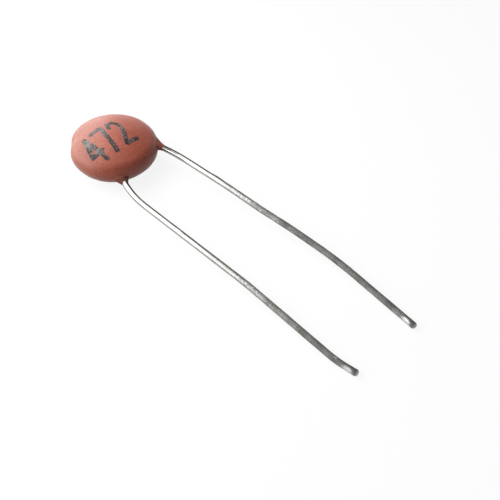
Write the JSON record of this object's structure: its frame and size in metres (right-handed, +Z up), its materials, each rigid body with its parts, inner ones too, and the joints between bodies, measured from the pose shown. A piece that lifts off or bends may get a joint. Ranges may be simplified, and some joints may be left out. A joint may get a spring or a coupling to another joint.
{
  "type": "ceramic disc capacitor",
  "caption": "Dipped ceramic disc capacitor with long radial wire leads, formed at the disc and slightly bent by handling.",
  "frame": {"origin": "on the surface that the part lies on, midway between the two leads' nominal lines and half way along the part", "axes": "+Z up from that surface; +Y along the leads, from their tips towards the disc; +X across the leads, from lead_left to lead_right"},
  "size_m": [0.0076, 0.032, 0.0031],
  "materials": {
    "coating": "satin salmon-brown phenolic dip coating, a little grainy",
    "ceramic": null,
    "silver": "fired silver film, matte",
    "solder": "tin-lead solder, smooth",
    "lead": "hot-tinned wire, bright with dull patches and light scratches"
  },
  "bodies": {
    "root": {"coating": "coating", "ceramic_disc": "ceramic", "electrode_front": "silver", "electrode_back": "silver", "solder_front": "solder", "solder_back": "solder", "lead_left": "lead", "lead_right": "lead"}
  },
  "joints": []
}
